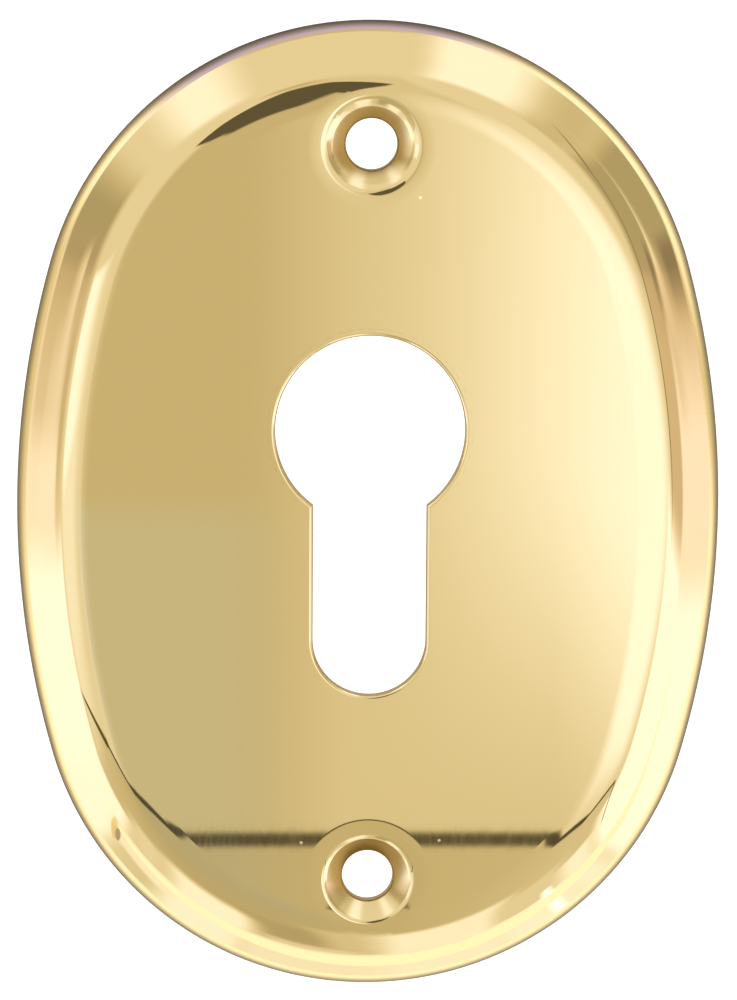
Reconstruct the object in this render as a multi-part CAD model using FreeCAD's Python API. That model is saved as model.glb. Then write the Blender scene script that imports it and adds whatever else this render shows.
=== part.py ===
import FreeCAD, Part
import math
import os

# Oval keyhole escutcheon pressed from brass sheet, in millimetres.
# The plate lies with its rim on the door plane at z = 0 and its face towards +Z.
# +Y points to the round end of the keyhole and the origin is the centre of the oval.

# Oval outline: two flat side arcs and two tighter end arcs, tangent where they meet.
plate_length = 90.4
plate_width = 65.0
side_radius = 85.0

# Sheet and overall height of the pressing.
sheet = 1.0
height = 4.75

# Rim section, drawn as straight lines with rounded bends: out of the foot, over the lip, up the
# hollow flare and over the shoulder to the face. "in" is measured from the outline towards the
# middle, "up" from the door plane and "drop" down from the face.
lip_in = 0.35
lip_up = 1.3
lip_radius = 3.0
flare_in = 2.6
flare_drop = 1.8
shoulder_in = 4.62
shoulder_radius = 4.9

# Screw seats: dimples pressed down from the face for countersunk screws.
screw_from_end = 11.1
screw_hole = 4.7
seat_diameter = 8.2
seat_angle = 90.0
seat_roll = 1.2
seat_wall = 0.85

# Profile cylinder that passes through the keyhole, and the play around it.
barrel_diameter = 17.0
cylinder_width = 10.0
cylinder_height = 33.0
cylinder_play = 0.2
barrel_above_centre = 8.0
keyhole_break = 0.3

# How far a cutting tool runs past the metal it cuts, how near counts as touching, and the
# largest share of a straight side that one rounding may take up.
overshoot = 1.0
contact = 1e-4
largest_share = 0.9

# Worked out from the dimensions above.
half_length = plate_length / 2
half_width = plate_width / 2
end_radius = (2 * half_width * side_radius - half_width**2 - half_length**2) / (
    2 * (side_radius - half_length)
)
side_centre = half_width - side_radius
end_centre = half_length - end_radius
side_half_angle = math.degrees(math.atan2(end_centre, -side_centre))
lip_slope = math.atan2(lip_up, lip_in)
screw_offset = half_length - screw_from_end
seat_slope = math.radians(90 - seat_angle / 2)
barrel_radius = barrel_diameter / 2 + cylinder_play
slot_radius = cylinder_width / 2 + cylinder_play
slot_end = barrel_above_centre - (cylinder_height - barrel_diameter / 2 - cylinder_width / 2)

UP = FreeCAD.Vector(0, 0, 1)
ORIGIN = FreeCAD.Vector(0, 0, 0)


def direction(start, end):
    """Unit vector from start to end, as x and z."""
    length = math.dist(start[:2], end[:2])
    return (end[0] - start[0]) / length, (end[1] - start[1]) / length


def turn_at(before, corner, after):
    """Angle that a line through three points turns by, positive to the left."""
    ax, az = direction(before, corner)
    bx, bz = direction(corner, after)
    return math.atan2(ax * bz - az * bx, ax * bx + az * bz)


def reach_of(radius, before, corner, after, room):
    """How far a rounding of radius reaches along both sides of its corner, at most room."""
    return min(radius * math.tan(abs(turn_at(before, corner, after)) / 2), room)


def parallel(line, distance):
    """The same line moved square to itself by distance to its right."""
    moved = []
    last = len(line) - 1
    for i, (x, z) in enumerate(line):
        ax, az = direction(line[max(i - 1, 0)], line[max(i, 1)])
        bx, bz = direction(line[min(i, last - 1)], line[min(i + 1, last)])
        scale = distance / (1 + ax * bx + az * bz)
        moved.append((x + (az + bz) * scale, z - (ax + bx) * scale))
    return moved


def rim_section():
    """Closed section of the rim as (in, up, reach) corners, and where its flat end lies."""
    foot = (0.0, 0.0)
    lip = (lip_in, lip_up)
    flare = (flare_in, height - flare_drop)
    shoulder = (shoulder_in, height)
    field_in = shoulder_in + shoulder_radius
    line = [foot, lip, flare, shoulder, (field_in, height)]
    upper_side = math.dist(flare, shoulder)
    shoulder_reach = reach_of(shoulder_radius, *line[2:5], largest_share * upper_side)
    flare_reach = upper_side - shoulder_reach
    lip_reach = reach_of(lip_radius, *line[0:3], largest_share * math.dist(foot, lip))
    # The underside runs parallel a sheet's thickness below, and only the deep bend under the
    # shoulder is rounded there.
    _, lip_in_below, flare_below, shoulder_below, end_below = parallel(line, sheet)
    foot_below = (sheet / math.sin(lip_slope), 0.0)
    inner_radius = max(shoulder_radius - sheet, 0.0)
    reach_below = reach_of(inner_radius, flare_below, shoulder_below, end_below, shoulder_reach)
    corners = [
        (*foot, 0.0),
        (*lip, lip_reach),
        (*flare, flare_reach),
        (*shoulder, shoulder_reach),
        (*line[4], 0.0),
        (*end_below, 0.0),
        (*shoulder_below, reach_below),
        (*flare_below, 0.0),
        (*lip_in_below, 0.0),
        (*foot_below, 0.0),
    ]
    return corners, field_in


def section_face(corners):
    """Face in the XZ plane from (x, z, reach) corners, each rounded from reach before it to reach after."""
    ends = []
    count = len(corners)
    for i, (x, z, reach) in enumerate(corners):
        corner = FreeCAD.Vector(x, 0, z)
        if reach < contact:
            ends.append((corner, None, corner))
            continue
        before = corners[i - 1]
        after = corners[(i + 1) % count]
        ax, az = direction(corners[i], before)
        bx, bz = direction(corners[i], after)
        radius = reach / math.tan(abs(turn_at(before, corners[i], after)) / 2)
        bisector = FreeCAD.Vector(ax + bx, 0, az + bz).normalize()
        middle = corner + bisector * (math.hypot(radius, reach) - radius)
        first = corner + FreeCAD.Vector(ax, 0, az) * reach
        last = corner + FreeCAD.Vector(bx, 0, bz) * reach
        ends.append((first, middle, last))
    edges = []
    for i, (first, middle, last) in enumerate(ends):
        if middle is not None:
            edges.append(Part.Arc(first, middle, last).toShape())
        following = ends[(i + 1) % count][0]
        if last.distanceToPoint(following) > contact:
            edges.append(Part.LineSegment(last, following).toShape())
    return Part.Face(Part.Wire(edges))


def oval_arcs():
    """The four arcs of the outline: centre x, centre y, radius, start angle and sweep."""
    side = 2 * side_half_angle
    end = 180 - side
    return (
        (side_centre, 0.0, side_radius, -side / 2, side),
        (0.0, end_centre, end_radius, side / 2, end),
        (-side_centre, 0.0, side_radius, 180 - side / 2, side),
        (0.0, -end_centre, end_radius, 180 + side / 2, end),
    )


def flat_field(inset):
    """The flat middle of the plate, inside the outline moved in by inset."""
    edges = []
    for x, y, radius, start, sweep in oval_arcs():
        centre = FreeCAD.Vector(x, y, height - sheet)
        circle = Part.Circle(centre, UP, radius - inset)
        edges.append(circle.toShape(math.radians(start), math.radians(start + sweep)))
    return Part.Face(Part.Wire(edges)).extrude(UP * sheet)


def dished_blank():
    """The pressed oval before it is pierced: rim and flat field in one sheet."""
    section, field_in = rim_section()
    rim = []
    for x, y, radius, start, sweep in oval_arcs():
        face = section_face([(radius - inset, up, reach) for inset, up, reach in section])
        face.rotate(ORIGIN, UP, start)
        arc = face.revolve(ORIGIN, UP, sweep)
        arc.translate(FreeCAD.Vector(x, y, 0))
        rim.append(arc)
    return flat_field(field_in).fuse(rim).removeSplitter()


def cone(top_radius, top, bottom):
    """Solid cone with the seat's slope, between two heights, of top_radius at the face."""
    at_top = top_radius + (top - height) / math.tan(seat_slope)
    at_bottom = top_radius + (bottom - height) / math.tan(seat_slope)
    return Part.makeCone(at_bottom, at_top, top - bottom, FreeCAD.Vector(0, 0, bottom))


def touching(shape, tool, low, high):
    """Edges of shape between two heights that lie against the tool that made them."""
    found = []
    for edge in shape.Edges:
        box = edge.BoundBox
        if low < box.ZMin and box.ZMax < high and edge.distToShape(tool)[0] < contact:
            found.append(edge)
    return found


def with_screw_seats(plate):
    """Both conical dimples pressed down into the field, each with its screw hole."""
    seat_radius = seat_diameter / 2
    hole_radius = screw_hole / 2
    hole_top = height - (seat_radius - hole_radius) * math.tan(seat_slope)
    hole_foot = hole_top - seat_wall
    boss = cone(seat_radius + sheet / math.sin(seat_slope), height - sheet / 2, hole_foot)
    recess = cone(seat_radius, height + overshoot, hole_top)
    drill = Part.makeCylinder(hole_radius, height, FreeCAD.Vector(0, 0, hole_foot - overshoot))
    places = [FreeCAD.Vector(0, screw_offset, 0), FreeCAD.Vector(0, -screw_offset, 0)]
    recesses = [recess.translated(place) for place in places]
    plate = plate.fuse([boss.translated(place) for place in places])
    plate = plate.cut(recesses + [drill.translated(place) for place in places]).removeSplitter()
    for recess in recesses:
        rim = touching(plate, recess, height - sheet / 2, height + overshoot)
        plate = plate.makeFillet(seat_roll, rim)
    return plate


def keyhole_punch():
    """Punch of the profile cylinder's shape: a round barrel above a straight slot with a round end."""
    foot = height - sheet - overshoot
    reach = sheet + 2 * overshoot
    barrel = Part.makeCylinder(barrel_radius, reach, FreeCAD.Vector(0, barrel_above_centre, foot))
    end = Part.makeCylinder(slot_radius, reach, FreeCAD.Vector(0, slot_end, foot))
    corner = FreeCAD.Vector(-slot_radius, slot_end, foot)
    slot = Part.makeBox(2 * slot_radius, barrel_above_centre - slot_end, reach, corner)
    return barrel.fuse([slot, end]).removeSplitter()


def with_keyhole(plate):
    """Keyhole punched through the field, its upper edge broken all round."""
    punch = keyhole_punch()
    plate = plate.cut(punch)
    return plate.makeChamfer(keyhole_break, touching(plate, punch, height - contact, height + contact))


def escutcheon_plate():
    """The finished pressing as one solid."""
    return with_keyhole(with_screw_seats(dished_blank())).Solids[0]


os.makedirs("parts", exist_ok=True)
escutcheon_plate().exportStep("parts/escutcheon_plate.step")
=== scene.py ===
import bisect
import math

import bpy
from mathutils import Matrix, Vector
from mathutils.geometry import delaunay_2d_cdt

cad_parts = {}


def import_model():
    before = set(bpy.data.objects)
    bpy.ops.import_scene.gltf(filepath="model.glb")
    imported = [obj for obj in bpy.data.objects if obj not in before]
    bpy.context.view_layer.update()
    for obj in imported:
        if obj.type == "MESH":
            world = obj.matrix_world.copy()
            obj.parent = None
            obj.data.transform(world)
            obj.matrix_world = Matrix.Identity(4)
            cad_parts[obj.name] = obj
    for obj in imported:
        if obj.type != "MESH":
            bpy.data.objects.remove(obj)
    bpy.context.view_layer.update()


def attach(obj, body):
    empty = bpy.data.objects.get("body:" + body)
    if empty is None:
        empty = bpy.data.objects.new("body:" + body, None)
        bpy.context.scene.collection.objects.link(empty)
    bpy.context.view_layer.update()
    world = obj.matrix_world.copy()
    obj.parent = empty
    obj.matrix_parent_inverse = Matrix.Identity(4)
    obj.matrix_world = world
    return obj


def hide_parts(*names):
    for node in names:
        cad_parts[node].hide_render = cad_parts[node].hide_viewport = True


# Keyhole escutcheon pressed from brass sheet. The plate is laid out in millimetres, as in the
# CAD model, and turned into metres when its mesh is made.
MM = 0.001

plate_length = 90.4
plate_width = 65.0
side_radius = 85.0
height = 4.75
sheet = 1.0

# Rim section as (in, up, rounding) corners: foot, lip, flare, shoulder, crown and field.
rim_corners = (
    (0.0, 0.0, 0.0),
    (0.35, 1.3, 3.0),
    (2.6, 2.95, 16.5),
    (4.4, 4.55, 4.86),
    (6.9, 4.75, 22.0),
    (9.0, 4.75, 0.0),
)
rim_band = 5.6
around = 512

# Screw seats: distance from the middle, hole, cone with its rolled edge, and the faint toe where
# the face starts to fall. The upper seat has the softer roll.
screw_offset = 34.1
hole_radius = 2.35
throat_radius = 0.5
seat_radius = 4.02
seat_slope = 43.5
seat_rolls = {screw_offset: 1.7, -screw_offset: 0.85}
seat_foot = 2.6
toe_in = 5.15
toe_drop = 0.012
toe_radius = 60.0
seat_reach = 5.7
seat_band = 5.4
seat_around = 144
boss_radius = 4.1
boss_slope = 45.0

# Keyhole: a round barrel above a straight slot with a round end.
barrel_y = 8.0
barrel_radius = 8.7
slot_radius = 5.2
slot_end = -11.5
edge_roll = 0.35
edge_band = 0.7
edge_spacing = 0.42

# Meshing: how far in the rim's own rings go below, rings just outside each seat, and the spacing
# of the points on the flat field, set out in staggered rows.
under_reach = 8.3
toe_rings = (5.85, 6.2)
field_pitch = 2.2
row_pitch = field_pitch * 0.866
field_columns = 20
field_rows = 24

half_length = plate_length / 2
half_width = plate_width / 2
end_radius = (2 * half_width * side_radius - half_width**2 - half_length**2) / (
    2 * (side_radius - half_length)
)
side_centre = half_width - side_radius
end_centre = half_length - end_radius
side_half_angle = math.atan2(end_centre, -side_centre)

UP = (0.0, 0.0, 1.0)
DOWN = (0.0, 0.0, -1.0)


def rounded(corners, step):
    """Stations (s, t, slope angle) along straight lines with rounded corners."""
    stations = [(corners[0][0], corners[0][1], math.atan2(*reversed(heading(corners, 0))))]
    for i in range(1, len(corners) - 1):
        s, t, radius = corners[i]
        before = heading(corners, i - 1)
        after = heading(corners, i)
        first = math.atan2(before[1], before[0])
        last = math.atan2(after[1], after[0])
        turn = last - first
        reach = radius * math.tan(abs(turn) / 2)
        side = math.copysign(1.0, turn)
        start = (s - before[0] * reach, t - before[1] * reach)
        centre = (start[0] - side * radius * before[1], start[1] + side * radius * before[0])
        extend(stations, start, first, step)
        count = max(1, math.ceil(abs(turn) / step))
        for k in range(1, count + 1):
            angle = first + turn * k / count
            stations.append(
                (
                    centre[0] + side * radius * math.sin(angle),
                    centre[1] - side * radius * math.cos(angle),
                    angle,
                )
            )
    extend(stations, corners[-1][:2], stations[-1][2], step)
    return stations


def heading(corners, i):
    """Unit direction of the side that starts at corner i."""
    ds = corners[i + 1][0] - corners[i][0]
    dt = corners[i + 1][1] - corners[i][1]
    length = math.hypot(ds, dt)
    return ds / length, dt / length


def extend(stations, end, angle, step):
    """Carries the stations straight on to end, with a few on the way."""
    s, t, _ = stations[-1]
    length = math.dist((s, t), end)
    if length < 1e-6:
        return
    count = max(1, math.ceil(length / (12 * step)))
    for k in range(1, count + 1):
        share = k / count
        stations.append((s + (end[0] - s) * share, t + (end[1] - t) * share, angle))


def read_off(stations, s):
    """Height and slope of a section at s, between its nearest stations."""
    i = min(max(bisect.bisect_left(stations, (s,)), 1), len(stations) - 1)
    low, high = stations[i - 1], stations[i]
    share = min(max((s - low[0]) / (high[0] - low[0]), 0.0), 1.0)
    return low[1] + (high[1] - low[1]) * share, low[2] + (high[2] - low[2]) * share


def seat_section(roll, step):
    """Drop of a seat below the face, from the hole's foot out to the toe, as (radius, drop, slope)."""
    slope = math.tan(math.radians(seat_slope))
    corners = (
        (hole_radius, seat_foot, 0.0),
        (hole_radius, (seat_radius - hole_radius) * slope + toe_drop, throat_radius),
        (seat_radius, toe_drop, roll),
        (toe_in, 0.0, toe_radius),
        (seat_reach, 0.0, 0.0),
    )
    return rounded(corners, step)


def boss_section(step):
    """Drop of the pressed-through boss under the plate's lower face, from its foot outwards."""
    slope = math.radians(boss_slope)
    outer = boss_radius + sheet / math.sin(slope)
    foot = seat_foot - sheet
    corners = (
        (outer - seat_foot / math.tan(slope), foot, 0.0),
        (outer - sheet / math.tan(slope), 0.0, 0.8),
        (seat_reach, 0.0, 0.0),
    )
    return rounded(corners, step)


FINE = math.radians(0.25)
RIM = rounded(rim_corners, FINE)
RIM_UNDER = [
    (s + sheet * math.sin(a), t - sheet * math.cos(a), a)
    for s, t, a in RIM
    if t - sheet * math.cos(a) > 0
]
SEATS = {
    centre: [s for s in seat_section(roll, FINE) if s[0] > hole_radius + FINE]
    for centre, roll in seat_rolls.items()
}
BOSSES = {centre: boss_section(FINE) for centre in seat_rolls}


def inset_of(x, y):
    """Distance inside the oval outline and the outward direction there."""
    ax, ay = abs(x), abs(y)
    if math.atan2(ay, ax - side_centre) < side_half_angle:
        cx, cy, radius = side_centre, 0.0, side_radius
    else:
        cx, cy, radius = 0.0, end_centre, end_radius
    nx, ny = ax - cx, ay - cy
    length = math.hypot(nx, ny)
    out = (math.copysign(nx / length, x), math.copysign(ny / length, y))
    return radius - length, out


def seats_at(x, y, sections):
    """Summed drop of both seats at a point, and its slope along x and y."""
    drop, gx, gy = 0.0, 0.0, 0.0
    for centre, section in sections.items():
        radius = math.hypot(x, y - centre)
        if radius < seat_reach:
            fall, angle = read_off(section, radius)
            drop += fall
            gx += math.tan(angle) * x / radius
            gy += math.tan(angle) * (y - centre) / radius
    return drop, gx, gy


def unit(x, y, z):
    length = math.sqrt(x * x + y * y + z * z)
    return x / length, y / length, z / length


def on_face(x, y, level=None):
    """Point and normal of the upper face; level gives the rim's own height and slope there."""
    inset, out = inset_of(x, y)
    z, angle = level or read_off(RIM, min(inset, rim_corners[-1][0]))
    drop, gx, gy = seats_at(x, y, SEATS)
    slope = math.tan(angle)
    return (x, y, z - drop), unit(slope * out[0] + gx, slope * out[1] + gy, 1.0)


def in_seat(x, y, centre, radius, drop, angle):
    """Point and normal on a seat's own section, the sheer wall of its hole included."""
    inset, out = inset_of(x, y)
    z, tilt = read_off(RIM, min(inset, rim_corners[-1][0]))
    down, level = math.sin(angle), math.cos(angle)
    slope = math.tan(tilt) * level
    nx = down * x / radius + slope * out[0]
    ny = down * (y - centre) / radius + slope * out[1]
    return (x, y, z - drop), unit(nx, ny, level)


def on_underside(x, y, level=None):
    """Point and normal of the lower face, a sheet's thickness below the upper one."""
    inset, out = inset_of(x, y)
    z, angle = level or read_off(RIM_UNDER, min(inset, RIM_UNDER[-1][0]))
    drop, gx, gy = seats_at(x, y, BOSSES)
    slope = math.tan(angle)
    return (x, y, z - drop), unit(-slope * out[0] - gx, -slope * out[1] - gy, -1.0)


class Skin:
    """Faces with a normal for each of their corners, joined where their points meet."""

    def __init__(self):
        self.places = {}
        self.points = []
        self.faces = []
        self.normals = []

    def place(self, point):
        key = tuple(round(value, 5) for value in point)
        if key not in self.places:
            self.places[key] = len(self.points)
            self.points.append(point)
        return self.places[key]

    def add(self, corners):
        ids, normals = [], []
        for point, normal in corners:
            i = self.place(point)
            if i not in ids:
                ids.append(i)
                normals.append(normal)
        if len(ids) > 2:
            self.faces.append(ids)
            self.normals.append(normals)

    def loft(self, rings):
        """Bands between rings that run the same way round."""
        for lower, upper in zip(rings, rings[1:]):
            count = len(lower)
            for i in range(count):
                j = (i + 1) % count
                self.add((lower[i], lower[j], upper[j], upper[i]))

    def mesh(self, name):
        mesh = bpy.data.meshes.new(name)
        mesh.from_pydata([[c * MM for c in p] for p in self.points], [], self.faces)
        mesh.polygons.foreach_set("use_smooth", [True] * len(self.faces))
        mesh.normals_split_custom_set([n for face in self.normals for n in face])
        mesh.validate()
        return mesh


def oval_directions(count):
    """Places round the outline: arc centre, arc radius and direction, evenly along its length."""
    side = 2 * side_half_angle
    end = math.pi - side
    arcs = (
        (side_centre, 0.0, side_radius, -side / 2, side),
        (0.0, end_centre, end_radius, side / 2, end),
        (-side_centre, 0.0, side_radius, math.pi - side / 2, side),
        (0.0, -end_centre, end_radius, math.pi + side / 2, end),
    )
    total = sum(radius * sweep for _, _, radius, _, sweep in arcs)
    places = []
    for cx, cy, radius, start, sweep in arcs:
        steps = round(count * radius * sweep / total)
        for k in range(steps):
            angle = start + sweep * k / steps
            places.append((cx, cy, radius, math.cos(angle), math.sin(angle)))
    return places


def oval_ring(places, inset):
    """Plan of the outline moved in by inset."""
    ring = []
    for cx, cy, radius, ux, uy in places:
        ring.append((cx + (radius - inset) * ux, cy + (radius - inset) * uy))
    return ring


def circle(centre_y, radius, count):
    """Plan of a circle round a point on the long axis."""
    ring = []
    for k in range(count):
        angle = 2 * math.pi * (k + 0.5) / count
        ring.append((radius * math.cos(angle), centre_y + radius * math.sin(angle)))
    return ring


def keyhole_outline():
    """Round the keyhole as (x, y, normal into the metal, mitre direction)."""
    neck = math.asin(slot_radius / barrel_radius)
    neck_y = barrel_y - barrel_radius * math.cos(neck)
    outline = []
    arc = 2 * (math.pi - neck)
    count = round(arc * barrel_radius / edge_spacing)
    for k in range(count + 1):
        angle = -math.pi / 2 + neck + arc * k / count
        ux, uy = math.cos(angle), math.sin(angle)
        outline.append([barrel_radius * ux, barrel_y + barrel_radius * uy, ux, uy])
    count = round((neck_y - slot_end) / edge_spacing)
    for k in range(count + 1):
        outline.append([-slot_radius, neck_y + (slot_end - neck_y) * k / count, -1.0, 0.0])
    count = round(math.pi * slot_radius / edge_spacing)
    for k in range(1, count):
        angle = math.pi + math.pi * k / count
        ux, uy = math.cos(angle), math.sin(angle)
        outline.append([slot_radius * ux, slot_end + slot_radius * uy, ux, uy])
    count = round((neck_y - slot_end) / edge_spacing)
    for k in range(count + 1):
        outline.append([slot_radius, slot_end + (neck_y - slot_end) * k / count, 1.0, 0.0])
    mitred = []
    for i, (x, y, ux, uy) in enumerate(outline):
        mx, my = ux, uy
        for other in (outline[i - 1], outline[(i + 1) % len(outline)]):
            if math.dist((x, y), other[:2]) < 1e-6:
                scale = 1 / (1 + ux * other[2] + uy * other[3])
                mx, my = (ux + other[2]) * scale, (uy + other[3]) * scale
        mitred.append((x, y, ux, uy, mx, my))
    return mitred


def keyhole_ring(outline, offset):
    """Plan of the keyhole moved into the metal by offset."""
    return [(x + mx * offset, y + my * offset) for x, y, _, _, mx, my in outline]


def beyond_keyhole(x, y):
    """Distance from the keyhole's edge, positive in the metal."""
    barrel = math.hypot(x, y - barrel_y) - barrel_radius
    slot = max(abs(x) - slot_radius, y - barrel_y)
    end = math.hypot(x, y - slot_end) - slot_radius
    if y < slot_end:
        slot = end
    return min(barrel, slot)


def triangulated(skin, loops, extra, surface, keep, flip):
    """Fills the field between closed loops with triangles that also use the extra points."""
    points = []
    edges = []
    for loop in loops:
        start = len(points)
        clean = []
        for point in loop:
            if not clean or math.dist(point, clean[-1]) > 1e-6:
                clean.append(point)
        if math.dist(clean[0], clean[-1]) < 1e-6:
            clean.pop()
        points.extend(clean)
        count = len(clean)
        edges.extend((start + i, start + (i + 1) % count) for i in range(count))
    points.extend(extra)
    found = delaunay_2d_cdt([Vector(p) for p in points], edges, [], 0, 1e-7)
    verts, faces = found[0], found[2]
    cache = {}
    for face in faces:
        corners = [tuple(verts[i]) for i in face]
        mx = sum(c[0] for c in corners) / 3
        my = sum(c[1] for c in corners) / 3
        if not keep(mx, my):
            continue
        (ax, ay), (bx, by), (cx, cy) = corners
        if ((bx - ax) * (cy - ay) - (by - ay) * (cx - ax) < 0) != flip:
            face = face[::-1]
        shaped = []
        for i in face:
            if i not in cache:
                cache[i] = surface(*verts[i])
            shaped.append(cache[i])
        skin.add(shaped)


def plate_mesh():
    """The whole pressing as one closed skin."""
    skin = Skin()
    places = oval_directions(around)
    outline = keyhole_outline()

    def in_field(x, y, inset, seat, edge):
        return (
            inset_of(x, y)[0] > inset
            and min(math.hypot(x, y - c) for c in (screw_offset, -screw_offset)) > seat
            and beyond_keyhole(x, y) > edge
        )

    # Rim from the field under the plate, over the foot and the lip, to the field on top.
    coarse = rounded(rim_corners, math.radians(5))
    fine = rounded(rim_corners, math.radians(2.2))
    under = []
    for s, t, a in reversed(coarse):
        inset, up = s + sheet * math.sin(a), t - sheet * math.cos(a)
        if up > 0 and inset < under_reach:
            under.append([on_underside(x, y, (up, a)) for x, y in oval_ring(places, inset)])
    slope = fine[0][2]
    foot = sheet / math.sin(slope)
    inner = oval_ring(places, foot)
    under.append([on_underside(x, y, (0.0, slope)) for x, y in inner])
    skin.loft(under)
    skin.loft(
        [
            [((x, y, 0.0), DOWN) for x, y in inner],
            [((x, y, 0.0), DOWN) for x, y in oval_ring(places, 0.0)],
        ]
    )
    top = []
    for s, t, a in fine:
        if s < rim_band:
            top.append([on_face(x, y, (t, a)) for x, y in oval_ring(places, s)])
            last_inset = s
    skin.loft(top)
    top_loop = [p[:2] for p, _ in top[-1]]
    under_loop = [p[:2] for p, _ in under[0]]
    under_inset = inset_of(*under_loop[0])[0]

    # Screw seats, their holes and the bosses behind them.
    top_loops, under_loops = [top_loop], [under_loop]
    for centre, roll in seat_rolls.items():
        cone = [s for s in seat_section(roll, math.radians(2.5)) if s[0] < seat_band]
        rings = []
        for radius, drop, angle in reversed(cone):
            ring = circle(centre, radius, seat_around)
            rings.append([in_seat(x, y, centre, radius, drop, angle) for x, y in ring])
        skin.loft(rings)
        top_loops.append([p[:2] for p, _ in rings[0]])
        boss = [s for s in boss_section(math.radians(6)) if s[0] < seat_band]
        rings = []
        for radius, _, _ in boss:
            rings.append([on_underside(x, y) for x, y in circle(centre, radius, seat_around)])
        hole = [(x, y, height - seat_foot) for x, y in circle(centre, hole_radius, seat_around)]
        skin.loft([[(point, DOWN) for point in hole], [(point, DOWN) for point, _ in rings[0]]])
        skin.loft(rings)
        under_loops.append([p[:2] for p, _ in rings[-1]])

    # Keyhole: rolled upper edge, then the sheared wall.
    rings = [[(x, y, height) for x, y in keyhole_ring(outline, edge_band)]]
    edge = [[(point, UP) for point in rings[0]]]
    steps = 6
    for k in range(steps + 1):
        angle = math.pi / 2 * k / steps
        offset = edge_roll * (1 - math.sin(angle))
        z = height - edge_roll * (1 - math.cos(angle))
        ring = []
        for (x, y), (_, _, ux, uy, _, _) in zip(keyhole_ring(outline, offset), outline):
            normal = (-ux * math.sin(angle), -uy * math.sin(angle), math.cos(angle))
            ring.append(((x, y, z), normal))
        edge.append(ring)
    skin.loft(edge)
    wall = keyhole_ring(outline, 0.0)
    facing = [(-ux, -uy, 0.0) for _, _, ux, uy, _, _ in outline]
    skin.loft(
        [
            [((x, y, height - edge_roll), n) for (x, y), n in zip(wall, facing)],
            [((x, y, height - sheet), n) for (x, y), n in zip(wall, facing)],
        ]
    )
    top_loops.append(keyhole_ring(outline, edge_band))
    under_loops.append(wall)

    # Flat field between them, with closer points where it starts to fall away.
    extra = []
    for k in range(1, 9):
        for x, y in oval_ring(places[::2], last_inset + 0.3 * k):
            if in_field(x, y, 0, seat_band + 0.25, edge_band + 0.3):
                extra.append((x, y))
    for centre in (screw_offset, -screw_offset):
        for radius in toe_rings:
            for x, y in circle(centre, radius, seat_around // 2):
                if in_field(x, y, last_inset + 2.6, 0, edge_band):
                    extra.append((x, y))
    for i in range(-field_columns, field_columns + 1):
        for j in range(-field_rows, field_rows + 1):
            x, y = field_pitch * (i + 0.5 * (j % 2)), row_pitch * j
            if in_field(x, y, last_inset + 3.4, seat_reach + 0.8, edge_band + 1.0):
                extra.append((x, y))

    def on_top(x, y):
        return in_field(x, y, last_inset - 0.01, cone[-1][0] - 0.01, edge_band - 0.01)

    triangulated(skin, top_loops, extra, on_face, on_top, False)

    def below(x, y):
        return in_field(x, y, under_inset - 0.01, boss[-1][0] - 0.01, -0.01)

    extra = [(x, y) for x, y in extra if in_field(x, y, under_inset + 0.5, seat_band + 1, 0.8)]
    triangulated(skin, under_loops, extra, on_underside, below, True)
    return skin.mesh("escutcheon")


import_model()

plate = bpy.data.objects.new("escutcheon", plate_mesh())
bpy.context.scene.collection.objects.link(plate)


def calc(tree, operation, *values):
    """Math node fed by sockets or plain numbers."""
    node = tree.nodes.new("ShaderNodeMath")
    node.operation = operation
    for socket, value in zip(node.inputs, values):
        if isinstance(value, (int, float)):
            socket.default_value = value
        else:
            tree.links.new(value, socket)
    return node.outputs[0]


def ramp(tree, value, start, end, low=0.0, high=1.0):
    """Soft step from low at start to high at end."""
    node = tree.nodes.new("ShaderNodeMapRange")
    node.interpolation_type = "SMOOTHSTEP"
    for socket, entry in zip(node.inputs, (value, start, end, low, high)):
        if isinstance(entry, (int, float)):
            socket.default_value = entry
        else:
            tree.links.new(entry, socket)
    return node.outputs[0]


def mix_colour(tree, first, second, share):
    """First colour turning into second as share goes from 0 to 1."""
    node = tree.nodes.new("ShaderNodeMix")
    node.data_type = "RGBA"
    for socket, entry in zip((node.inputs[6], node.inputs[7]), (first, second)):
        if isinstance(entry, tuple):
            socket.default_value = (*entry, 1.0)
        else:
            tree.links.new(entry, socket)
    tree.links.new(share, node.inputs[0])
    return node.outputs[2]


def scale_colour(tree, colour, amount):
    """Colour made brighter or darker by an amount."""
    node = tree.nodes.new("ShaderNodeVectorMath")
    node.operation = "SCALE"
    tree.links.new(colour, node.inputs[0])
    tree.links.new(amount, node.inputs["Scale"])
    return node.outputs[0]


def blend(tree, first, second, share):
    """First turning into second as share goes from 0 to 1, for single values."""
    change = calc(tree, "SUBTRACT", second, first)
    return calc(tree, "MULTIPLY_ADD", change, share, first)


def group(name, inputs, outputs):
    """Empty shader group with float or other sockets."""
    tree = bpy.data.node_groups.new(name, "ShaderNodeTree")
    for label, kind in inputs:
        tree.interface.new_socket(label, in_out="INPUT", socket_type=kind)
    for label, kind in outputs:
        tree.interface.new_socket(label, in_out="OUTPUT", socket_type=kind)
    return tree, tree.nodes.new("NodeGroupInput"), tree.nodes.new("NodeGroupOutput")


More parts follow.
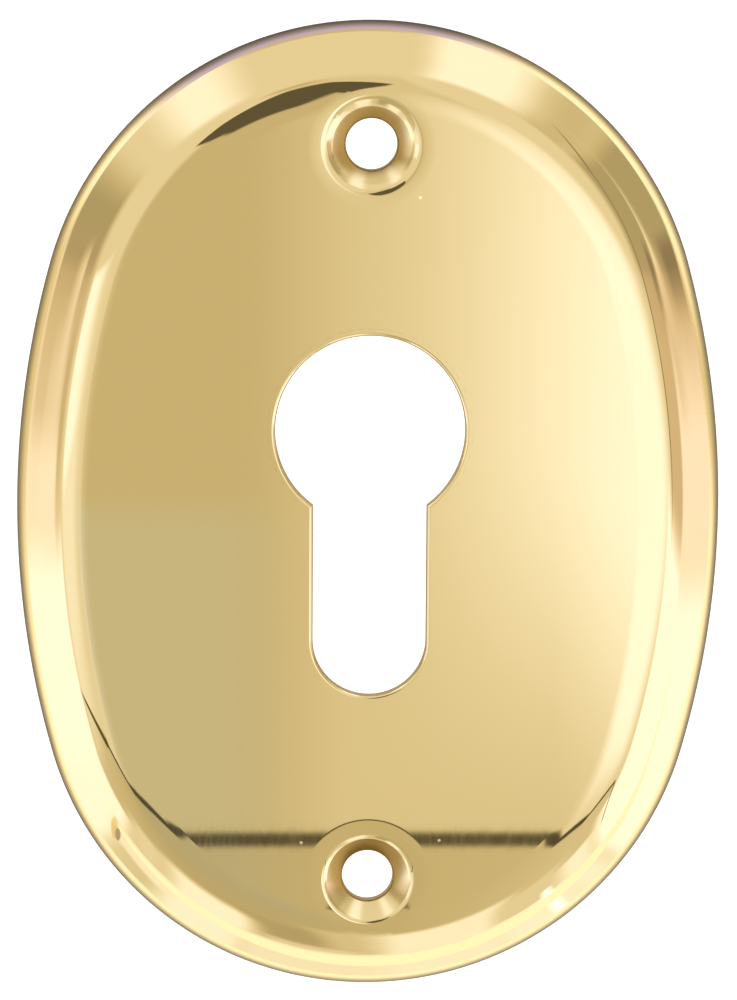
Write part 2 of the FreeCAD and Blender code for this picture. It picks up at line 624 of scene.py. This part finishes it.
def polish_group():
    """Fine polishing lines along the plate: a tilted normal and a haze mask."""
    tree, source, target = group(
        "polishing_lines",
        (
            ("Line Width", "NodeSocketFloat"),
            ("Line Length", "NodeSocketFloat"),
            ("Tilt", "NodeSocketFloat"),
        ),
        (("Normal", "NodeSocketVector"), ("Haze", "NodeSocketFloat")),
    )
    place = tree.nodes.new("ShaderNodeTexCoord")
    split = tree.nodes.new("ShaderNodeSeparateXYZ")
    tree.links.new(place.outputs["Object"], split.inputs[0])
    across = calc(tree, "DIVIDE", split.outputs["X"], source.outputs["Line Width"])
    along = calc(tree, "DIVIDE", split.outputs["Y"], source.outputs["Line Length"])
    joined = tree.nodes.new("ShaderNodeCombineXYZ")
    tree.links.new(across, joined.inputs["X"])
    tree.links.new(along, joined.inputs["Y"])
    noise = tree.nodes.new("ShaderNodeTexNoise")
    noise.inputs["Scale"].default_value = 1.0
    noise.inputs["Detail"].default_value = 2.0
    tree.links.new(joined.outputs[0], noise.inputs["Vector"])
    centred = tree.nodes.new("ShaderNodeVectorMath")
    centred.operation = "SUBTRACT"
    centred.inputs[1].default_value = (0.5, 0.5, 0.5)
    tree.links.new(noise.outputs["Color"], centred.inputs[0])
    scaled = tree.nodes.new("ShaderNodeVectorMath")
    scaled.operation = "SCALE"
    tree.links.new(centred.outputs[0], scaled.inputs[0])
    tree.links.new(source.outputs["Tilt"], scaled.inputs["Scale"])
    geometry = tree.nodes.new("ShaderNodeNewGeometry")
    added = tree.nodes.new("ShaderNodeVectorMath")
    added.operation = "ADD"
    tree.links.new(geometry.outputs["Normal"], added.inputs[0])
    tree.links.new(scaled.outputs[0], added.inputs[1])
    whole = tree.nodes.new("ShaderNodeVectorMath")
    whole.operation = "NORMALIZE"
    tree.links.new(added.outputs[0], whole.inputs[0])
    tree.links.new(whole.outputs[0], target.inputs["Normal"])
    tree.links.new(noise.outputs["Fac"], target.inputs["Haze"])
    return tree


def seat_group():
    """Mask of both screw seats, round their axes."""
    tree, _, target = group("screw_seats", (), (("Mask", "NodeSocketFloat"),))
    place = tree.nodes.new("ShaderNodeTexCoord")
    split = tree.nodes.new("ShaderNodeSeparateXYZ")
    tree.links.new(place.outputs["Object"], split.inputs[0])
    along = calc(tree, "SUBTRACT", calc(tree, "ABSOLUTE", split.outputs["Y"]), screw_offset * MM)
    squares = [calc(tree, "POWER", value, 2.0) for value in (split.outputs["X"], along)]
    off_axis = calc(tree, "SQRT", calc(tree, "ADD", *squares))
    mask = ramp(tree, off_axis, (seat_radius + 0.15) * MM, (seat_radius - 0.25) * MM)
    tree.links.new(mask, target.inputs["Mask"])
    return tree


def painted_spot_group():
    """Soft oval spot at a place on the face, seen from above, in metres."""
    labels = ("X", "Y", "Half Width", "Half Height")
    tree, source, target = group(
        "painted_spot", [(label, "NodeSocketFloat") for label in labels], (("Mask", "NodeSocketFloat"),)
    )
    place = tree.nodes.new("ShaderNodeTexCoord")
    split = tree.nodes.new("ShaderNodeSeparateXYZ")
    tree.links.new(place.outputs["Object"], split.inputs[0])
    squares = []
    for axis, half in (("X", "Half Width"), ("Y", "Half Height")):
        off = calc(tree, "SUBTRACT", split.outputs[axis], source.outputs[axis])
        squares.append(calc(tree, "POWER", calc(tree, "DIVIDE", off, source.outputs[half]), 2.0))
    mask = ramp(tree, calc(tree, "ADD", *squares), 1.3, 0.5)
    tree.links.new(mask, target.inputs["Mask"])
    return tree


# Painted spots on the brass, in millimetres: place, half width and half height. The rim pair is a
# painted brown reflection, the specks are painted glints.
painted_rim_reflections = ((-23.5, -29.5, 0.36, 1.2), (-23.2, -30.2, 0.26, 0.7))
painted_glints = ((4.4, 29.4, 0.16, 0.14), (-6.2, -30.6, 0.16, 0.14), (6.6, -30.4, 0.16, 0.14))


def brass_material():
    """Polished brass sheet."""
    material = bpy.data.materials.new("polished_brass")
    material.use_nodes = True
    tree = material.node_tree
    shader = tree.nodes["Principled BSDF"]
    rays = tree.nodes.new("ShaderNodeLightPath")
    seats = tree.nodes.new("ShaderNodeGroup")
    seats.node_tree = seat_group()
    # Painted shade: for glossy rays the brass in the screw seats turns darker, so the seats look shaded
    # in their own reflections.
    inner = calc(tree, "MULTIPLY", rays.outputs["Is Glossy Ray"], seats.outputs["Mask"])
    brass = mix_colour(tree, (0.89, 0.65, 0.26), (0.62, 0.48, 0.25), inner)
    spot = painted_spot_group()
    masks = []
    for settings in painted_rim_reflections + painted_glints:
        node = tree.nodes.new("ShaderNodeGroup")
        node.node_tree = spot
        for socket, value in zip(node.inputs, settings):
            socket.default_value = value * MM
        masks.append(node.outputs["Mask"])
    # Painted reflection: a brown patch on the lower-left rim, in two darker shades.
    brass = mix_colour(tree, brass, (0.72, 0.46, 0.12), masks[0])
    brass = mix_colour(tree, brass, (0.42, 0.26, 0.08), masks[1])
    tree.links.new(brass, shader.inputs["Base Color"])
    # Painted glints: tiny spots on the face glow a warm white.
    glint_mask = masks[2]
    for mask in masks[3:]:
        glint_mask = calc(tree, "MAXIMUM", glint_mask, mask)
    shader.inputs["Emission Color"].default_value = (1.0, 0.9, 0.6, 1.0)
    tree.links.new(calc(tree, "MULTIPLY", glint_mask, 0.45), shader.inputs["Emission Strength"])
    shader.inputs["Metallic"].default_value = 1.0
    lines = tree.nodes.new("ShaderNodeGroup")
    lines.node_tree = polish_group()
    lines.inputs["Line Width"].default_value = 0.0003
    lines.inputs["Line Length"].default_value = 0.02
    lines.inputs["Tilt"].default_value = 0.0002
    tree.links.new(lines.outputs["Normal"], shader.inputs["Normal"])
    polish = ramp(tree, lines.outputs["Haze"], 0.3, 0.8, 0.013, 0.019)

    # The underside is dull, as pressed.
    facing = tree.nodes.new("ShaderNodeTexCoord")
    split = tree.nodes.new("ShaderNodeSeparateXYZ")
    tree.links.new(facing.outputs["Normal"], split.inputs[0])
    behind = ramp(tree, split.outputs["Z"], -0.05, -0.4)
    dull = blend(tree, polish, 0.19, seats.outputs["Mask"])
    tree.links.new(blend(tree, dull, 0.32, behind), shader.inputs["Roughness"])
    return material


plate.data.materials.append(brass_material())
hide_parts("escutcheon_plate")
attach(plate, "root")


def camera():
    """Camera at the photograph's place, in millimetres over the plate."""
    place = Vector((-14.10, 74.36, 448.27))
    aim = Vector((-0.058, 1.137, 2.0))
    roll = 0.006
    ahead = (aim - place).normalized()
    right = ahead.cross(Vector((0, 1, 0))).normalized()
    above = right.cross(ahead)
    across = right * math.cos(roll) + above * math.sin(roll)
    upward = above * math.cos(roll) - right * math.sin(roll)
    data = bpy.data.cameras.new("camera")
    data.lens = 176.607
    data.sensor_width = 36
    data.clip_start = 0.01
    obj = bpy.data.objects.new("camera", data)
    turned = Matrix((across, upward, -ahead)).transposed().to_4x4()
    obj.matrix_world = Matrix.Translation(place * MM) @ turned
    bpy.context.scene.collection.objects.link(obj)
    bpy.context.scene.camera = obj


def soft(value, start, end):
    """Soft step from 0 at start to 1 at end."""
    share = min(max((value - start) / (end - start), 0.0), 1.0)
    return share * share * (3 - 2 * share)


def around_at(angle, centre, half, blur):
    """1 within half of a centre angle, softly falling to 0 over the blur, in degrees."""
    off = abs((angle - centre + 180) % 360 - 180)
    return soft(off, half + blur, half - blur)


def floor():
    """Pale floor. In the metal it has painted shade close to the plate, where the plate's shadow falls,
    and at both sides, and is grey-violet beyond the top edge. Under the plate it has painted light, for
    the camera and in the metal."""
    places = oval_directions(160)
    reaches = (-4.0, 0.0, 0.7, 1.4, 2.2, 3.2, 4.5, 6.0, 8.0, 2000.0)
    points, faces = [], []
    masks = {"clear": [], "under": [], "dim": [], "violet": []}
    for k, reach in enumerate(reaches):
        first = len(points)
        points.extend((x * MM, y * MM, 0.0) for x, y in oval_ring(places, -reach))
        for _, _, _, ux, uy in places:
            angle = math.degrees(math.atan2(uy, ux))
            violet = around_at(angle, 99, 31, 12)
            side = max(around_at(angle, 171, 14, 10), around_at(angle, 7, 6, 5), 0.35 * violet)
            masks["clear"].append(1 - math.exp(-max(reach, 0.0) / 2.2))
            masks["under"].append(1.0 if reach < 0 else 0.0)
            masks["dim"].append(side)
            masks["violet"].append(violet)
        count = len(points) - first
        if k == 0:
            faces.append(list(range(count)))
            continue
        for i in range(count):
            j = (i + 1) % count
            faces.append([first - count + i, first + i, first + j, first - count + j])
    mesh = bpy.data.meshes.new("floor")
    mesh.from_pydata(points, [], faces)
    for name, values in masks.items():
        mesh.attributes.new(name, "FLOAT", "POINT").data.foreach_set("value", values)
    obj = bpy.data.objects.new("floor", mesh)
    bpy.context.scene.collection.objects.link(obj)
    obj.location.z = -0.0001
    material = bpy.data.materials.new("pale_floor")
    material.use_nodes = True
    tree = material.node_tree
    shader = tree.nodes["Principled BSDF"]
    shader.inputs["Roughness"].default_value = 0.9
    rays = tree.nodes.new("ShaderNodeLightPath")
    read = {}
    for name in masks:
        node = tree.nodes.new("ShaderNodeAttribute")
        node.attribute_name = name
        read[name] = node.outputs["Fac"]
    glossy = rays.outputs["Is Glossy Ray"]
    grey = mix_colour(tree, (0.9, 0.9, 0.9), (0.45, 0.48, 0.78), read["violet"])
    # Painted shade: in the metal the floor is darker close to the plate, where its shadow falls, with
    # painted light under the plate.
    painted_floor_shading = calc(tree, "MULTIPLY_ADD", read["clear"], 0.74, 0.26)
    painted_floor_shading = calc(tree, "MULTIPLY_ADD", read["under"], 0.4, painted_floor_shading)
    grey = scale_colour(tree, grey, painted_floor_shading)
    tree.links.new(mix_colour(tree, (0.9, 0.9, 0.9), grey, glossy), shader.inputs["Base Color"])
    # Painted shadow: the floor's glow in the metal fades close to the plate and at both sides, with a
    # little painted light left under the plate.
    shine = calc(tree, "MULTIPLY", calc(tree, "POWER", read["clear"], 2.0), 0.6)
    shine = calc(tree, "MULTIPLY", shine, calc(tree, "SUBTRACT", 1.0, read["dim"]))
    shine = calc(tree, "MAXIMUM", shine, calc(tree, "MULTIPLY", read["under"], 0.16))
    shine = calc(tree, "MULTIPLY", shine, glossy)
    # Painted light: for the camera the floor glows brighter under the plate, filling its shadow where
    # the keyhole and the holes show it.
    seen = calc(tree, "MULTIPLY_ADD", read["under"], 0.5, 0.62)
    seen = calc(tree, "MULTIPLY", rays.outputs["Is Camera Ray"], seen)
    tree.links.new(calc(tree, "ADD", seen, shine), shader.inputs["Emission Strength"])
    beyond = mix_colour(tree, (0.88, 1.0, 1.6), (0.42, 0.34, 2.3), read["violet"])
    # Painted light: under the plate the floor's glow in the metal is warm.
    beyond = mix_colour(tree, beyond, (1.0, 0.9, 0.7), read["under"])
    tint = mix_colour(tree, (1.0, 1.0, 1.0), beyond, glossy)
    tree.links.new(tint, shader.inputs["Emission Color"])
    mesh.materials.append(material)


# Soft cards and shaded places low round the plate, seen from it by azimuth and angle from
# overhead in degrees: azimuth, half width, side blur, from, its blur, to, its blur and level.
surroundings = (
    (-145, 10, 4, 57, 3, 180, 3, 1.5),
    (-130, 5, 4, 47, 5, 83, 3, 0.98),
    (-130, 8, 4, 84, 2, 180, 3, 1.25),
    (-115, 9, 4, 46, 8, 180, 3, 1.36),
    (-100, 6, 4, 36, 6, 180, 3, 0.52),
    (-97, 9, 4, 72, 6, 180, 3, 0.93),
    (-96, 13, 4, 84, 2, 180, 3, 1.2),
    (-90, 4, 3, 28, 5, 72, 5, 0.8),
    (-76, 10, 4, 33, 5, 180, 3, 1.3),
    (-60, 6, 3, 40, 4, 83, 2, 0.93),
    (-60, 8, 4, 84, 2, 180, 3, 1.35),
    (-50, 4, 3, 51, 3, 180, 3, 1.35),
    (-57, 0.8, 1, 72, 5, 180, 3, 2.2),
    (-29, 16, 3, 38, 2, 180, 3, 1.6),
    (-3, 9, 3, 46, 2, 75, 3, 0.7),
    (-8, 7, 4, 75, 3, 180, 3, 1.22),
    (21, 16, 5, 41, 7, 84, 3, 0.5),
    (43, 6, 5, 38, 4, 83, 2, 0.72),
    (10, 4, 3, 70, 4, 79, 3, 0.3),
    (5, 6, 4, 84, 3, 180, 3, 0.85),
    (15, 6, 4, 85, 2, 180, 3, 1.15),
    (38, 15, 5, 85, 2, 180, 3, 1.48),
    (65, 11, 5, 44, 6, 180, 3, 1.42),
    (92, 15, 6, 36, 8, 180, 3, 0.95),
    (107, 7, 4, 32, 2, 36, 2, 0.62),
    (98, 17, 8, 82, 3, 180, 3, 0.7),
    (127, 8, 6, 47, 9, 180, 3, 1.4),
    (146, 10, 5, 84, 2, 180, 3, 1.5),
    (196, 13, 8, 25, 9, 54, 3, 1.22),
    (181, 9, 2, 32, 10, 53, 2, 1.5),
    (162, 12, 7, 57, 9, 84, 2, 0.49),
    (181, 7, 5, 60, 4, 73, 4, 0.68),
    (178, 12, 4, 80, 4, 180, 3, 1.02),
    (-170, 6, 3, 72, 4, 180, 3, 1.25),
    (-159, 8, 3, 57, 2, 180, 3, 1.6),
)


def card_group():
    """Soft-edged card: takes the level so far and gives it with the card laid over."""
    labels = ("Level", "Azimuth", "Zenith", "Centre", "Half Width", "Side Blur")
    labels += ("From", "From Blur", "To", "To Blur", "Card Level")
    tree, source, target = group(
        "soft_card",
        [(label, "NodeSocketFloat") for label in labels],
        (("Level", "NodeSocketFloat"),),
    )
    level, azimuth, zenith, centre, half, side, first, opening, last, closing, card = source.outputs[:11]

    def step(value, edge, blur, rising):
        before, after = ("SUBTRACT", "ADD") if rising else ("ADD", "SUBTRACT")
        return ramp(tree, value, calc(tree, before, edge, blur), calc(tree, after, edge, blur))

    off = calc(tree, "WRAP", calc(tree, "SUBTRACT", azimuth, centre), 180.0, -180.0)
    mask = step(calc(tree, "ABSOLUTE", off), half, side, False)
    mask = calc(tree, "MULTIPLY", mask, step(zenith, first, opening, True))
    mask = calc(tree, "MULTIPLY", mask, step(zenith, last, closing, False))
    tree.links.new(blend(tree, level, card, mask), target.inputs[0])
    return tree


def card_node(tree, card, level, azimuth, zenith, settings):
    """One card laid over the level so far."""
    node = tree.nodes.new("ShaderNodeGroup")
    node.node_tree = card
    if isinstance(level, float):
        node.inputs["Level"].default_value = level
    else:
        tree.links.new(level, node.inputs["Level"])
    tree.links.new(azimuth, node.inputs["Azimuth"])
    tree.links.new(zenith, node.inputs["Zenith"])
    for socket, value in zip(node.inputs[3:], settings):
        socket.default_value = value
    return node


def world():
    """Plain pale room with soft cards round the plate; white where the camera sees it."""
    world = bpy.data.worlds.new("studio")
    world.use_nodes = True
    bpy.context.scene.world = world
    tree = world.node_tree
    background = tree.nodes["Background"]
    place = tree.nodes.new("ShaderNodeTexCoord")
    split = tree.nodes.new("ShaderNodeSeparateXYZ")
    tree.links.new(place.outputs["Generated"], split.inputs[0])
    x, y, z = split.outputs
    degrees = math.degrees(1)
    zenith = calc(tree, "MULTIPLY", calc(tree, "ARCCOSINE", z), degrees)
    azimuth = calc(tree, "MULTIPLY", calc(tree, "ARCTAN2", y, x), degrees)
    high = calc(tree, "MAXIMUM", z, 0.05)
    p = calc(tree, "DIVIDE", x, high)
    q = calc(tree, "DIVIDE", y, high)

    def above(value, edge):
        return calc(tree, "MAXIMUM", calc(tree, "SUBTRACT", value, edge), 0)

    # Where the lower board begins, beyond a long thin gap overhead.
    past = calc(tree, "ADD", q, 0.236)
    left = calc(tree, "MULTIPLY", p, -1)
    slopes = ((left, 0.008, 0.8), (left, 0.055, -0.5), (left, 0.13, -0.12), (left, 0.4, 0.12))
    slopes += ((p, 0.07, 0.95), (p, 0.14, -0.57), (p, 0.5, 0.62))
    for way, start, slope in slopes:
        past = calc(tree, "MULTIPLY_ADD", above(way, start), slope, past)

    # Ceiling, dim overhead and paler to both sides and beyond the top edge.
    level = ramp(tree, p, -0.12, -0.25, 0.66, 0.95)
    for way, start, end, pale in ((p, 0.004, 0.03, 0.83), (p, 0.05, 0.16, 0.95), (q, 0.15, 0.4, 0.82)):
        level = calc(tree, "MAXIMUM", level, ramp(tree, way, start, end, 0.66, pale))
    cool = calc(tree, "MULTIPLY", ramp(tree, q, -0.16, -0.172), ramp(tree, p, 0.02, 0.0))
    cool = calc(tree, "MULTIPLY", cool, ramp(tree, zenith, 24, 16))
    level = calc(tree, "MULTIPLY_ADD", cool, 0.045, level)

    # Pale window light on the right.
    dx = calc(tree, "DIVIDE", calc(tree, "SUBTRACT", p, 0.25), 0.7)
    dy = calc(tree, "DIVIDE", calc(tree, "ADD", q, 0.16), 0.25)
    squares = [calc(tree, "POWER", value, 2) for value in (dx, dy)]
    spread = calc(tree, "SQRT", calc(tree, "ADD", *squares))
    glow = calc(tree, "MULTIPLY", ramp(tree, p, 0.02, 0.1), ramp(tree, spread, 1.15, 0.25))
    glow = calc(tree, "MULTIPLY", glow, ramp(tree, past, -0.005, 0.09))
    level = blend(tree, level, 1.52, glow)

    # Lower board.
    aside = calc(tree, "ABSOLUTE", calc(tree, "ADD", azimuth, 105.0))
    board = ramp(tree, aside, 5, 55, 0.58, 0.8)
    level = blend(tree, level, board, ramp(tree, past, 0.004, -0.004))

    # Cards round the plate.
    card = card_group()
    for settings in surroundings:
        level = card_node(tree, card, level, azimuth, zenith, settings).outputs[0]

    # The gap itself.
    off = calc(tree, "ABSOLUTE", past)
    outward = calc(tree, "MAXIMUM", above(left, 0.008), above(p, 0.07))
    wide = calc(tree, "MINIMUM", calc(tree, "MULTIPLY_ADD", outward, 0.12, 0.0015), 0.006)
    gap = ramp(tree, calc(tree, "DIVIDE", off, wide), 1.5, 0.5)
    gap = calc(tree, "MULTIPLY", gap, ramp(tree, zenith, 60, 50))
    level = blend(tree, level, 0.1, gap)

    # Corner where the ceiling meets the wall on the right.
    bend = calc(tree, "MULTIPLY_ADD", above(q, 0.65), 0.6, 1.08)
    off = calc(tree, "ABSOLUTE", calc(tree, "SUBTRACT", p, bend))
    line = calc(tree, "MULTIPLY", ramp(tree, off, 0.06, 0.02), ramp(tree, q, -0.35, -0.1))
    line = calc(tree, "MULTIPLY", line, ramp(tree, q, 2.2, 1.0))
    level = blend(tree, level, 0.34, line)

    # Dark camera and its arm overhead.
    tip = above(q, 0.33)
    left_edge = calc(tree, "MAXIMUM", calc(tree, "MULTIPLY_ADD", q, -1.0, -0.052), -0.275)
    left_edge = calc(tree, "MULTIPLY_ADD", tip, 0.5, left_edge)
    right_edge = calc(tree, "MULTIPLY_ADD", q, 0.26, -0.01)
    right_edge = calc(tree, "MULTIPLY_ADD", tip, -1.0, right_edge)
    sides = [calc(tree, "SUBTRACT", p, left_edge), calc(tree, "SUBTRACT", right_edge, p)]
    inside = calc(tree, "MINIMUM", *sides)
    arm = calc(tree, "MULTIPLY", ramp(tree, inside, 0.0, 0.014), ramp(tree, q, 0.54, 0.48))
    arm = calc(tree, "MULTIPLY", arm, ramp(tree, q, 0.012, 0.03))
    level = blend(tree, level, 0.13, arm)

    # Pale parts are cooler than the dim ones.
    share = calc(tree, "DIVIDE", calc(tree, "SUBTRACT", level, 0.66), 0.84)
    tint = mix_colour(tree, (1.0, 1.0, 0.96), (0.84, 1.0, 1.62), share)
    cooler = mix_colour(tree, (1.0, 1.0, 1.0), (0.93, 1.0, 1.13), cool)
    blush = 0.0
    for settings in ((177, 14, 8, 57, 6, 90, 6, 0.45), (-1, 13, 7, 48, 3, 90, 6, 0.75)):
        node = card_node(tree, card, blush, azimuth, zenith, settings)
        blush = node.outputs[0]
    warmer = mix_colour(tree, (1.0, 1.0, 1.0), (1.12, 0.99, 1.1), blush)
    for other in (cooler, warmer):
        both = tree.nodes.new("ShaderNodeVectorMath")
        both.operation = "MULTIPLY"
        tree.links.new(tint, both.inputs[0])
        tree.links.new(other, both.inputs[1])
        tint = both.outputs[0]
    colour = scale_colour(tree, tint, level)
    tree.links.new(colour, background.inputs["Color"])

    # Only the brass mirrors the room. The camera sees white, and the floor gets plain white light.
    plain = tree.nodes.new("ShaderNodeBackground")
    plain.inputs["Color"].default_value = (1.0, 1.0, 1.0, 1.0)
    rays = tree.nodes.new("ShaderNodeLightPath")
    either = tree.nodes.new("ShaderNodeMixShader")
    tree.links.new(rays.outputs["Is Glossy Ray"], either.inputs["Fac"])
    tree.links.new(plain.outputs[0], either.inputs[1])
    tree.links.new(background.outputs[0], either.inputs[2])
    tree.links.new(either.outputs[0], tree.nodes["World Output"].inputs["Surface"])


camera()
floor()
world()
bpy.context.scene.view_settings.view_transform = "Standard"
